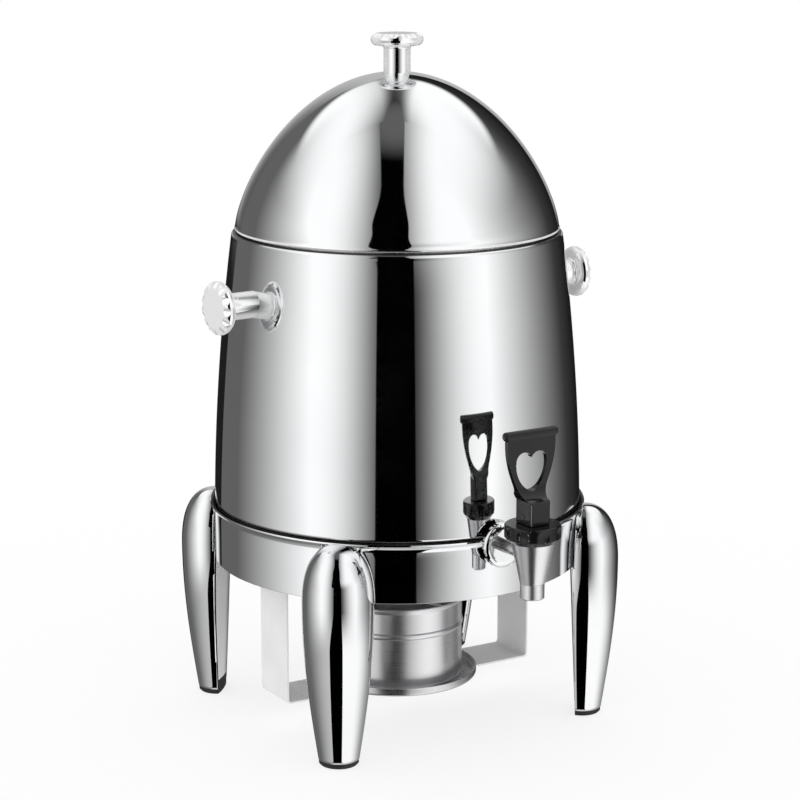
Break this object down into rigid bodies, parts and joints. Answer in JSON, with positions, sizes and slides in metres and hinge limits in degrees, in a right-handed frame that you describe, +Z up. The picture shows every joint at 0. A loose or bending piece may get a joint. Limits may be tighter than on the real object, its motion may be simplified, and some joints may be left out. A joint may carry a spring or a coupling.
{
  "type": "drink dispenser urn",
  "caption": "Domed drink urn in polished steel: lift-off lid, vessel with round side knobs and a black lever tap, on a legged stand with a bracket, tray and cup for a fuel burner.",
  "frame": {"origin": "on the table plane under the rubber feet, on the vertical axis of the vessel, stand ring and lid", "axes": "+Z up through the lid's knob; -Y towards the tap, the front; +X towards the side handle on the right as seen from the front"},
  "size_m": [0.3516, 0.3755, 0.5601],
  "materials": {
    "polished_steel": "mirror polished stainless steel",
    "satin_steel": "satin stainless sheet",
    "brushed_steel": "turned and brushed stainless steel",
    "fastener_steel": "plain stainless fasteners",
    "black_plastic": "moulded glossy black",
    "black_rubber": "matte moulded rubber",
    "pale_silicone": "translucent pale silicone"
  },
  "bodies": {
    "stand": {"stand_band": "polished_steel", "support_ledge": "satin_steel", "leg_front_left": "polished_steel", "leg_front_right": "polished_steel", "leg_back_left": "polished_steel", "leg_back_right": "polished_steel", "leg_plate_front_left": "satin_steel", "leg_plate_front_right": "satin_steel", "leg_plate_back_left": "satin_steel", "leg_plate_back_right": "satin_steel", "foot_front_left": "black_rubber", "foot_front_right": "black_rubber", "foot_back_left": "black_rubber", "foot_back_right": "black_rubber", "leg_bolts": "fastener_steel", "burner_bracket": "satin_steel", "bracket_screws": "fastener_steel", "burner_tray": "polished_steel", "tray_rivets": "fastener_steel"},
    "fuel_cup": {"fuel_cup": "brushed_steel"},
    "vessel": {"vessel_shell": "polished_steel", "vessel_floor": "satin_steel", "handle_left": "polished_steel", "handle_right": "polished_steel", "handle_screws": "fastener_steel", "handle_gaskets": "black_rubber", "handle_washers": "fastener_steel", "tap_body": "brushed_steel", "tap_collar": "polished_steel", "tap_outer_gasket": "black_rubber", "tap_inner_gasket": "black_rubber", "tap_locknut": "fastener_steel", "tap_bonnet": "black_plastic", "tap_spring": "fastener_steel"},
    "lid": {"lid_dome": "polished_steel", "lid_collar": "satin_steel", "lid_knob": "polished_steel", "lid_knob_screw": "fastener_steel", "lid_knob_washer": "fastener_steel"},
    "lever": {"tap_lever": "black_plastic", "lever_pin": "fastener_steel"},
    "valve": {"tap_stem": "fastener_steel", "tap_seat_cup": "pale_silicone"}
  },
  "joints": [
    {"name": "vessel_lift", "type": "slide", "parent": "stand", "child": "vessel", "axis": [0, 0, 1], "range_m": [0, 0.06]},
    {"name": "lid_lift", "type": "slide", "parent": "vessel", "child": "lid", "axis": [0, 0, 1], "range_m": [0, 0.05]},
    {"name": "cup_lift", "type": "slide", "parent": "stand", "child": "fuel_cup", "axis": [0, 0, 1], "range_m": [0, 0.03]},
    {"name": "lever_tilt", "type": "hinge", "parent": "vessel", "child": "lever", "pos_m": [0, -0.2091, 0.2013], "axis": [1, 0, 0], "range_deg": [0, 20], "stiffness_Nm_per_rad": 0.5, "springref_deg": -17.19},
    {"name": "valve_lift", "type": "slide", "parent": "vessel", "child": "valve", "axis": [0, 0, 1], "range_m": [0, 0.00345], "deforming": ["tap_spring"]}
  ],
  "couplings": [
    {"joint": "valve_lift", "follows": "lever_tilt", "m_per_rad": 0.009546}
  ]
}
